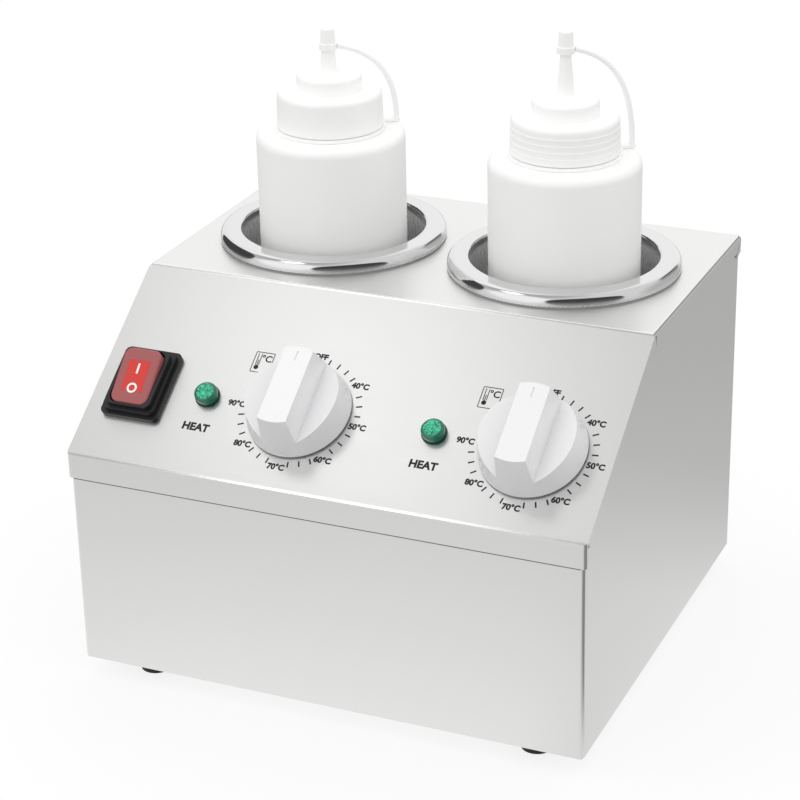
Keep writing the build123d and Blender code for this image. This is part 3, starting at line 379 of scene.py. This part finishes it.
def smooth(mesh, crease=32.0):
    """Smooth shading, kept sharp where faces meet at more than the crease angle."""
    mesh.shade_smooth()
    mesh.set_sharp_from_angle(angle=math.radians(crease))


# ------------------------------------------------------------------------------ building pieces
def new_piece(name, mesh, body, material, replaced=()):
    """Puts a finished mesh in the scene as a piece that rides on a body."""
    piece = bpy.data.objects.new(name, mesh)
    bpy.context.scene.collection.objects.link(piece)
    mesh.materials.append(material)
    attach(piece, body)
    if replaced:
        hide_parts(*replaced)
    return piece


def mesh_from(name, build, place=None):
    """A mesh made by a function that fills a bmesh, moved into place."""
    shape = bmesh.new()
    build(shape)
    if place is not None:
        shape.transform(place)
    bmesh.ops.recalc_face_normals(shape, faces=shape.faces)
    mesh = bpy.data.meshes.new(name)
    shape.to_mesh(mesh)
    shape.free()
    return mesh


def letters(shape, text, height, depth, place, bold=0.0):
    """Adds raised letters to a bmesh, their capitals that high, centred on the place's origin."""
    capital_share = 0.73     # of the built-in font's size
    curve = bpy.data.curves.new("letters", "FONT")
    curve.body = text
    curve.size = height / capital_share
    curve.align_x = "CENTER"
    curve.align_y = "CENTER"
    curve.extrude = depth / 2
    curve.offset = bold
    curve.resolution_u = 4
    holder = bpy.data.objects.new("letters", curve)
    bpy.context.scene.collection.objects.link(holder)
    graph = bpy.context.evaluated_depsgraph_get()
    mesh = bpy.data.meshes.new_from_object(holder.evaluated_get(graph))
    mesh.transform(place @ Matrix.Translation((0, 0, depth / 2)))
    shape.from_mesh(mesh)
    bpy.data.objects.remove(holder)
    bpy.data.curves.remove(curve)
    bpy.data.meshes.remove(mesh)


def bar(shape, size, place):
    """Adds a box to a bmesh, standing on the place's plane."""
    made = bmesh.ops.create_cube(shape, size=1.0)["verts"]
    bmesh.ops.scale(shape, vec=size, verts=made)
    bmesh.ops.transform(shape, matrix=place @ Matrix.Translation((0, 0, size[2] / 2)), verts=made)


def ring(shape, outer, inner, depth, place, sides=32):
    """Adds a flat ring, or a disc where the inner radius is 0."""
    rims = []
    for radius in ((outer, inner) if inner else (outer,)):
        turn = [2 * math.pi * index / sides for index in range(sides)]
        flat = [(radius * math.cos(a), radius * math.sin(a)) for a in turn]
        rims.append([[shape.verts.new(place @ Vector((x, y, z))) for x, y in flat]
                     for z in (0, depth)])
    for index in range(sides):
        after = (index + 1) % sides
        for low, high in rims:
            shape.faces.new((low[index], low[after], high[after], high[index]))
        if inner:
            for level in (0, 1):
                shape.faces.new((rims[0][level][index], rims[0][level][after],
                                 rims[1][level][after], rims[1][level][index]))
    if not inner:
        shape.faces.new(rims[0][0])
        shape.faces.new(rims[0][1])


def joint(name):
    return next(item for item in frame["joints"] if item["name"] == name)


def slope_place(x, y, z):
    """The slope's own axes at a point on it: across, up the slope, and out of it."""
    out = Vector(joint("knob_left_turn")["axis"]).normalized()
    across = Vector((1, 0, 0))
    up = out.cross(across)
    place = Matrix((across, up, out)).transposed().to_4x4()
    place.translation = (x, y, z)
    return place


def knob_place(side):
    return slope_place(*joint(f"knob_{side}_turn")["pos_m"])


# ------------------------------------------------------------------------------ operators
class WARMER_OT_camera(bpy.types.Operator):
    """Stands the camera in front of the warmer, to its right and above it"""
    bl_idname = "warmer.camera"
    bl_label = "Camera"

    def execute(self, context):
        settings = context.scene.warmer.camera
        turn, lift, roll = settings.azimuth, settings.elevation, settings.roll
        back = Vector((math.sin(turn) * math.cos(lift), -math.cos(turn) * math.cos(lift),
                       math.sin(lift)))
        right = Vector((math.cos(turn), math.sin(turn), 0))
        up = back.cross(right)
        right, up = (math.cos(roll) * right + math.sin(roll) * up,
                     math.cos(roll) * up - math.sin(roll) * right)
        camera = bpy.data.cameras.new("camera")
        camera.sensor_width = 36.0
        camera.lens = settings.focal_length
        holder = bpy.data.objects.new("camera", camera)
        context.scene.collection.objects.link(holder)
        placed = Matrix((right, up, back)).transposed().to_4x4()
        foot = Vector((0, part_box("cover")[0].y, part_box("body_wrap")[0].z))
        placed.translation = (foot + settings.aim_across * right + settings.aim_up * up
                              + settings.distance * back)
        holder.matrix_world = placed
        context.scene.camera = holder
        return {"FINISHED"}


class WARMER_OT_stage(bpy.types.Operator):
    """Lays the pale floor and hangs the soft studio light"""
    bl_idname = "warmer.stage"
    bl_label = "Floor and light"

    def execute(self, context):
        self.floor(context)
        self.world(context)
        self.lamp(context, "key_softbox", towards=(-0.385, -0.185, 0.905), distance=1.1, size=0.25,
                  power=0.37)
        context.scene.view_settings.view_transform = "Standard"
        return {"FINISHED"}

    def floor(self, context):
        """A white table that keeps the shadow, and carries painted shade where sheet metal mirrors
        it.
        """
        def plane(shape):
            bmesh.ops.create_grid(shape, x_segments=1, y_segments=1, size=6.0)
        floor = bpy.data.objects.new("floor", mesh_from("floor", plane))
        context.scene.collection.objects.link(floor)
        material = blank_material("floor_white_card")
        tree = material.node_tree
        path = add_node(tree, "ShaderNodeLightPath")
        seen, glossy = (path, "Is Camera Ray"), (path, "Is Glossy Ray")
        card = add_node(tree, "ShaderNodeBsdfDiffuse", inputs={
            "Color": ramp(tree, seen, 0.0, 1.0, 0.42, 0.90)})
        white = add_node(tree, "ShaderNodeEmission", inputs={"Color": (1, 1, 1, 1)})
        mirrored = add_node(tree, "ShaderNodeEmission", inputs={"Color": self.table_tone(tree)})
        looks = reckon(tree, "MAXIMUM", seen, (path, "Is Transmission Ray"))
        pale = add_node(tree, "ShaderNodeMixShader", inputs={
            0: reckon(tree, "MULTIPLY", looks, 0.80), 1: (card, "BSDF"), 2: (white, "Emission")})
        last = add_node(tree, "ShaderNodeMixShader", inputs={
            0: reckon(tree, "MULTIPLY", glossy, 0.90), 1: (pale, "Shader"),
            2: (mirrored, "Emission")})
        add_node(tree, "ShaderNodeOutputMaterial", inputs={"Surface": (last, "Shader")})
        floor.data.materials.append(material)

    def table_tone(self, tree):
        """How bright sheet metal mirrors each spot of the table, in metres from the middle: painted
        shade, darker away from the middle, to the right, behind and in front.
        """
        place = add_node(tree, "ShaderNodeNewGeometry")
        away = reckon_vectors(tree, "Value", "LENGTH", (place, "Position"))
        x, y = split(tree, (place, "Position"))[:2]
        tone = ramp(tree, away, 0.14, 0.50, 1.02, 0.79)
        for value, start, end, share in (
                (x, 0.09, 0.14, 0.84),       # to the right
                (y, 0.06, 0.20, 0.74),       # behind
                (y, -0.12, -0.40, 0.87)):    # in front
            tone = reckon(tree, "MULTIPLY", tone, ramp(tree, value, start, end, 1.0, share))
        # a patch of painted shade, dark as a flag, beyond the front right corner
        flag = reckon(tree, "MULTIPLY", ramp(tree, x, 0.15, 0.21, 0.0, 1.0),
                      ramp(tree, y, -0.07, -0.13, 0.0, 0.85))
        return mix(tree, flag, tone, 0.15)

    def world(self, context):
        """White all round, with grey flags and white cards in a few directions."""
        world = bpy.data.worlds.new("studio")
        context.scene.world = world
        world.use_nodes = True
        tree = world.node_tree
        tree.nodes.clear()
        place = add_node(tree, "ShaderNodeTexCoord")
        # what sheet metal mirrors: white walls, with grey flags at the right and in front
        mirrored = self.toned(tree, place, 0.80, (
            ((-0.38, -0.10, 0.92), 0.75, 0.97, 0.50),      # over the slope
            ((-0.37, 0.83, 0.41), 0.60, 0.95, 1.00),       # behind the deck
            ((-0.12, 0.90, 0.42), 0.88, 0.97, 1.05),       # behind the deck's right half
            ((-0.38, 0.43, 0.82), 0.93, 0.97, 1.12),       # along the upper fold
            ((-0.40, -0.73, 0.56), 0.82, 0.93, 1.10),      # along the lower fold
            ((0.58, -0.66, 0.42), 0.800, 0.820, 0.06),     # dark on the rims, to the right
            ((-0.955, 0.12, 0.27), 0.870, 0.885, 0.06),    # dark on the rims, to the left
            ((0.41, 0.83, 0.37), 0.95, 0.98, 0.10),        # along the deck's right edge
            ((0.75, 0.66, 0.00), 0.72, 0.95, 0.54)))       # behind the right side
        # what lights matt surfaces: pale walls and a white ceiling
        around = self.toned(tree, place, 1.08, (((-0.30, 0.10, 0.95), 0.10, 0.90, 1.20),))
        white = add_node(tree, "ShaderNodeBackground", inputs={"Color": (1, 1, 1, 1)})
        path = add_node(tree, "ShaderNodeLightPath")
        first = add_node(tree, "ShaderNodeMixShader", inputs={
            0: (path, "Is Glossy Ray"), 1: around, 2: mirrored})
        looks = reckon(tree, "MAXIMUM", (path, "Is Camera Ray"), (path, "Is Transmission Ray"))
        last = add_node(tree, "ShaderNodeMixShader", inputs={
            0: looks, 1: (first, "Shader"), 2: (white, "Background")})
        add_node(tree, "ShaderNodeOutputWorld", inputs={"Surface": (last, "Shader")})

    def toned(self, tree, place, tone, cards):
        """A level all round, with cards: (towards, cosines of edge and middle, brightness)."""
        for towards, edge, middle, brightness in cards:
            facing = reckon_vectors(tree, "Value", "DOT_PRODUCT", (place, "Generated"),
                                    Vector(towards).normalized())
            tone = mix(tree, ramp(tree, facing, edge, middle, shape="SMOOTHSTEP"), tone, brightness)
        return add_node(tree, "ShaderNodeBackground", inputs={"Color": tone}), "Background"

    def lamp(self, context, name, towards, distance, size, power):
        light = bpy.data.lights.new(name, "AREA")
        light.shape = "SQUARE"
        light.size = size
        light.energy = power
        holder = bpy.data.objects.new(name, light)
        context.scene.collection.objects.link(holder)
        aim = Vector((0, 0, 0.15))
        away = Vector(towards).normalized()
        holder.matrix_world = (Matrix.Translation(aim + distance * away)
                               @ away.to_track_quat("Z", "Y").to_matrix().to_4x4())


class WARMER_OT_housing(bpy.types.Operator):
    """Finishes the sheet housing, its base and its screws"""
    bl_idname = "warmer.housing"
    bl_label = "Housing"

    def execute(self, context):
        dress(context, ("cover", "body_wrap", "rear_panel", "base_plate", "support_bracket"),
              "stainless")
        dress(context, ("base_screws", "foot_screws", "foot_nuts", "rear_screws", "cover_screws",
                        "thermostat_screws", "terminal_screws", "well_nuts", "bulb_clips",
                        "pilot_clips", "gland_locknut"), "plated")
        dress(context, ("feet",), "rubber")
        dress(context, ("gland_body", "gland_nut"), "black")
        # a thin dark piece under the front strip: painted shadow of the lap
        new_piece("lap_seal", mesh_from("lap_seal", self.bead), "housing",
                  finish_of(context, "lap_shadow_dark"))
        return {"FINISHED"}

    def bead(self, shape):
        """A thin dark piece under the front strip's lower edge, a painted shadow along the lap."""
        strip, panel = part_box("cover"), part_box("body_wrap")
        front, seat, top = strip[0].y + 0.08 * MM, panel[0].y, strip[0].z
        section = ((seat, top), (front, top), (front, top - 0.35 * MM),
                   (front + 0.27 * MM, top - 0.6 * MM), (seat, top - 0.7 * MM))
        corner = 3.0 * MM        # the painted shadow stops short of the strip's round corners
        ends = [[shape.verts.new((x, y, z)) for y, z in section]
                for x in (strip[0].x + corner, strip[1].x - corner)]
        for index in range(len(section)):
            after = (index + 1) % len(section)
            shape.faces.new((ends[0][index], ends[0][after], ends[1][after], ends[1][index]))
        for end in ends:
            shape.faces.new(end)


class WARMER_OT_wells(bpy.types.Operator):
    """Finishes the wells and what is fixed round them inside the housing"""
    bl_idname = "warmer.wells"
    bl_label = "Wells and heaters"

    def execute(self, context):
        dress(context, ("well_left", "well_right"), "buffed")
        for side in SIDES:
            self.roll(frame["nodes"][f"well_{side}"].data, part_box("cover")[1].z)
        dress(context, ("well_gasket_left", "well_gasket_right"), "silicone")
        dress(context, ("heater_left", "heater_right"), "heater")
        dress(context, ("insulation_left", "insulation_right"), "blanket")
        dress(context, ("cutout_left", "cutout_right", "thermostat_left", "thermostat_right"),
              "phenolic")
        dress(context, ("bulb_left", "bulb_right", "capillary_left", "capillary_right"), "copper")
        dress(context, ("earth_stud", "earth_nuts"), "brass")
        dress(context, ("terminal_block",), "polyamide")
        return {"FINISHED"}

    roll_width = 5.0 * MM        # of the rim's rolled edge, from the flat top outwards
    roll_reach = 3.8 * MM        # how far in from the rim's edge the shading changes
    underside = -0.1             # faces that look further down than this keep theirs

    def roll(self, mesh, deck_top):
        """Shades the rim's outer edge as one roll from the deck up, by its normals alone."""
        spots = [corner.co for corner in mesh.vertices]
        low, high = (Vector(pick(spot[axis] for spot in spots) for axis in range(3))
                     for pick in (min, max))
        middle, outer, height = (low + high) / 2, (high.x - low.x) / 2, high.z - deck_top
        normals = [Vector((0, 0, 0)) for corner in mesh.loops]
        for face in mesh.polygons:
            for corner in face.loop_indices:
                spot = spots[mesh.loops[corner].vertex_index]
                away = Vector((spot.x - middle.x, spot.y - middle.y, 0))
                rise = (spot.z - deck_top) / height
                outward = face.normal.dot(away) > 0 and face.normal.z > self.underside
                if away.length > outer - self.roll_reach and rise > 0 and outward:
                    turn = math.asin(min(rise, 1.0))
                    up = self.roll_width / height * math.sin(turn)
                    normals[corner] = (away.normalized() * math.cos(turn)
                                       + Vector((0, 0, up))).normalized()
        mesh.normals_split_custom_set(normals)


class WARMER_OT_knobs(bpy.types.Operator):
    """Finishes the knobs and their spindles"""
    bl_idname = "warmer.knobs"
    bl_label = "Knobs"

    def execute(self, context):
        dress(context, ("knob_left", "knob_right"), "knob", crease=20.0)
        dress(context, ("spindle_left", "spindle_right"), "spindle")
        return {"FINISHED"}


class WARMER_OT_dials(bpy.types.Operator):
    """Prints the temperature dials, the lamp words and the thermometer marks on the slope"""
    bl_idname = "warmer.dials"
    bl_label = "Dials"

    last_further = 1.8 * MM      # how much further out the last figure stands
    labels = {0: "OFF", 5: "40°C", 9: "50°C", 13: "60°C", 17: "70°C", 21: "80°C", 25: "90°C"}

    def execute(self, context):
        dial = context.scene.warmer.dial
        clear = 0.01 * MM        # between the ink and the sheet, so that neither hides the other
        for side in SIDES:
            place = knob_place(side) @ Matrix.Translation((0, 0, clear))
            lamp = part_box(f"pilot_lens_{side}")
            lamp_x = (lamp[0].x + lamp[1].x) / 2 - place.translation.x

            def printed(shape):
                for step in range(dial.steps + 1):
                    turn = dial.sweep * step / dial.steps
                    if step in self.labels:
                        out = dial.label_radius + (self.last_further if step == dial.steps else 0)
                        spot = Vector((math.sin(turn), math.cos(turn), 0)) * out
                        letters(shape, self.labels[step], dial.label_height, dial.ink,
                                Matrix.Translation(spot), bold=0.2 * MM)
                    else:
                        bar(shape, (dial.tick_width, dial.tick_length, dial.ink),
                            Matrix.Rotation(-turn, 4, "Z")
                            @ Matrix.Translation((0, dial.tick_radius, 0)))
                self.thermometer(shape, dial.ink)

            new_piece(f"dial_{side}", mesh_from(f"dial_{side}", printed, place), "housing",
                      finish_of(context, "ink"))

            def word(shape):
                letters(shape, "HEAT", dial.word_height, dial.ink,
                        Matrix.Translation((lamp_x, -dial.word_drop, 0)), bold=0.26 * MM)

            new_piece(f"heat_word_{side}", mesh_from(f"heat_word_{side}", word, place), "housing",
                      finish_of(context, "ink"))
        return {"FINISHED"}

    def thermometer(self, shape, ink):
        """A thin frame round a thermometer and a degree sign, up and to the left of the knob."""
        left, right, low, high, line = -32.5 * MM, -23.0 * MM, 17.2 * MM, 28.2 * MM, 0.4 * MM
        middle_x, middle_y = (left + right) / 2, (low + high) / 2
        for y in (low, high):
            bar(shape, (right - left, line, ink), Matrix.Translation((middle_x, y, 0)))
        for x in (left, right):
            bar(shape, (line, high - low - line, ink), Matrix.Translation((x, middle_y, 0)))
        stem_x, bulb_y, bulb, tube = left + 2.3 * MM, low + 2.6 * MM, 1.2 * MM, 0.8 * MM
        ring(shape, bulb, 0, ink, Matrix.Translation((stem_x, bulb_y, 0)))
        for step in (-1, 1):
            bar(shape, (line, high - bulb_y - bulb - 2 * line, ink), Matrix.Translation(
                (stem_x + step * tube, (high + bulb_y + bulb - 2 * line) / 2, 0)))
        bar(shape, (line, (high - bulb_y) / 2, ink),
            Matrix.Translation((stem_x, bulb_y + (high - bulb_y) / 4, 0)))
        letters(shape, "°C", 3.6 * MM, ink,
                Matrix.Translation((stem_x + 3.9 * MM, high - 3.4 * MM, 0)), bold=0.12 * MM)


class WARMER_OT_lamps(bpy.types.Operator):
    """Makes the lamps' faceted lenses"""
    bl_idname = "warmer.lamps"
    bl_label = "Lamps"

    pitch = 1.1 * MM             # of the small pyramids moulded in the lens
    pyramid = 0.4 * MM           # their height
    crown = 0.7 * MM             # rise of the whole patch in its middle
    patch_radius = 4.6 * MM
    lens_top = 5.1 * MM          # above the slope

    def execute(self, context):
        dress(context, ("pilot_holder_left", "pilot_holder_right"), "lamp_rim")
        dress(context, ("pilot_lens_left", "pilot_lens_right"), "lamp")
        for side in SIDES:
            low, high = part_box(f"pilot_holder_{side}")
            knob = knob_place(side)
            away = (low.x + high.x) / 2 - knob.translation.x
            place = knob @ Matrix.Translation((away, 0, self.lens_top - self.pyramid / 2))
            new_piece(f"lens_facets_{side}", mesh_from(f"lens_facets_{side}", self.facets, place),
                      "housing", finish_of(context, "facets"))
        return {"FINISHED"}

    def facets(self, shape):
        """A round crowned patch of pyramids, each corner of the grid being a peak or a valley."""
        count = int(self.patch_radius / (self.pitch / 2)) + 1
        corners = {}
        for row in range(-count, count + 1):
            for column in range(-count, count + 1):
                spot = Vector((column, row, 0)) * self.pitch / 2
                if spot.length <= self.patch_radius:
                    rise = self.crown * (1 - (spot.length / self.patch_radius) ** 2)
                    spot.z = rise + (self.pyramid if column % 2 and row % 2 else 0)
                    corners[column, row] = shape.verts.new(spot)
        square = ((0, 0), (1, 0), (1, 1), (0, 1))
        for column, row in corners:
            around = [corners.get((column + x, row + y)) for x, y in square]
            if None not in around:
                peak = next(at for at, (x, y) in enumerate(square)
                            if (column + x) % 2 and (row + y) % 2)
                turned = around[peak:] + around[:peak]
                shape.faces.new((turned[0], turned[1], turned[2]))
                shape.faces.new((turned[0], turned[2], turned[3]))
        loose = [corner for corner in shape.verts if not corner.link_faces]
        bmesh.ops.delete(shape, geom=loose, context="VERTS")
        rim = [edge for edge in shape.edges if edge.is_boundary]
        low = [item for item in bmesh.ops.extrude_edge_only(shape, edges=rim)["geom"]
               if isinstance(item, bmesh.types.BMVert)]
        for corner in low:
            corner.co.z = -self.pyramid
        bmesh.ops.contextual_create(shape, geom=[edge for edge in shape.edges if edge.is_boundary])


class WARMER_OT_switch(bpy.types.Operator):
    """Finishes the rocker switch and prints its marks"""
    bl_idname = "warmer.switch"
    bl_label = "Switch"

    rocker_thickness = 8.0 * MM
    clear = 0.01 * MM            # between the ink and the rocker
    ink = 0.02 * MM

    def execute(self, context):
        dress(context, ("switch_bezel", "switch_body"), "boot")
        dress(context, ("rocker",), "rocker")
        dress(context, ("rocker_lens",), "window")
        pivot = slope_place(*joint("rocker_tilt")["pos_m"])
        rest = math.radians(-joint("rocker_tilt")["range_deg"][0] / 2)
        top = (pivot @ Matrix.Rotation(rest, 4, "X")
               @ Matrix.Translation((0, 0, self.rocker_thickness / 2 + self.clear)))
        new_piece("rocker_marks", mesh_from("rocker_marks", self.marks, top), "rocker",
                  finish_of(context, "white_ink"))
        new_piece("switch_corners", mesh_from("switch_corners", self.corners, pivot), "housing",
                  finish_of(context, "boot"))
        return {"FINISHED"}

    def marks(self, shape):
        """I at the upper end and O at the lower end."""
        bar(shape, (1.0 * MM, 5.2 * MM, self.ink), Matrix.Translation((0, 3.8 * MM, 0)))
        ring(shape, 2.6 * MM, 1.6 * MM, self.ink, Matrix.Translation((0, -6.2 * MM, 0)))

    def corners(self, shape):
        """Fills the corners of the bezel's opening, as round as the rocker's."""
        half_x, half_y, radius, steps = 10.2 * MM, 15.15 * MM, 4.5 * MM, 8
        bottom, top = -5.0 * MM, 2.1 * MM
        for way_x in (-1, 1):
            for way_y in (-1, 1):
                turn = [math.pi / 2 * step / steps for step in range(steps + 1)]
                edge = [(half_x, half_y)] + [
                    (half_x - radius * (1 - math.cos(a)), half_y - radius * (1 - math.sin(a)))
                    for a in turn]
                low, high = ([shape.verts.new((way_x * x, way_y * y, z)) for x, y in edge]
                             for z in (bottom, top))
                shape.faces.new(low)
                shape.faces.new(high)
                for index in range(len(edge)):
                    after = (index + 1) % len(edge)
                    shape.faces.new((low[index], low[after], high[after], high[index]))


class WARMER_OT_bottles(bpy.types.Operator):
    """Finishes the squeeze bottles, their lids, neck rings and tip caps"""
    bl_idname = "warmer.bottles"
    bl_label = "Bottles"

    def execute(self, context):
        names = [f"{part}_{side}" for part in ("bottle", "lid", "neck_ring", "tip_cap", "strap")
                 for side in SIDES]
        dress(context, names, "ldpe", crease=40.0)
        for side in SIDES:
            self.strap(side)
        return {"FINISHED"}

    def strap(self, side):
        """Puts a copy of the strap in the scene in place of its CAD node."""
        node = frame["nodes"][f"strap_{side}"]
        strap = bpy.data.objects.new(f"soft_strap_{side}", node.data.copy())
        bpy.context.scene.collection.objects.link(strap)
        strap.matrix_world = node.matrix_world.copy()
        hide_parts(node.name)
        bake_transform(strap)


class WARMER_PT_panel(bpy.types.Panel):
    """Lists the warmer's pieces and settings"""
    bl_idname = "WARMER_PT_panel"
    bl_label = "Twin topping warmer"
    bl_space_type = "VIEW_3D"
    bl_region_type = "UI"
    bl_category = "Warmer"

    def draw(self, context):
        for operator in OPERATORS:
            self.layout.operator(operator.bl_idname)
        settings = context.scene.warmer
        for group in (settings.camera, settings.dial, settings.finish):
            column = self.layout.column(align=True)
            for name in group.__annotations__:
                column.prop(group, name)


GROUPS = (CameraSettings, DialSettings, FinishSettings, WarmerSettings)
OPERATORS = (WARMER_OT_camera, WARMER_OT_stage, WARMER_OT_housing, WARMER_OT_wells, WARMER_OT_knobs,
             WARMER_OT_dials, WARMER_OT_lamps, WARMER_OT_switch, WARMER_OT_bottles)


def register():
    for item in (*GROUPS, *OPERATORS, WARMER_PT_panel):
        bpy.utils.register_class(item)
    bpy.types.Scene.warmer = PointerProperty(type=WarmerSettings, name="Warmer",
                                             description="Settings of the topping warmer")


def unregister():
    del bpy.types.Scene.warmer
    for item in reversed((*GROUPS, *OPERATORS, WARMER_PT_panel)):
        bpy.utils.unregister_class(item)


def main():
    register()
    for operator in OPERATORS:
        group, name = operator.bl_idname.split(".")
        getattr(getattr(bpy.ops, group), name)()


if __name__ == "__main__":
    main()
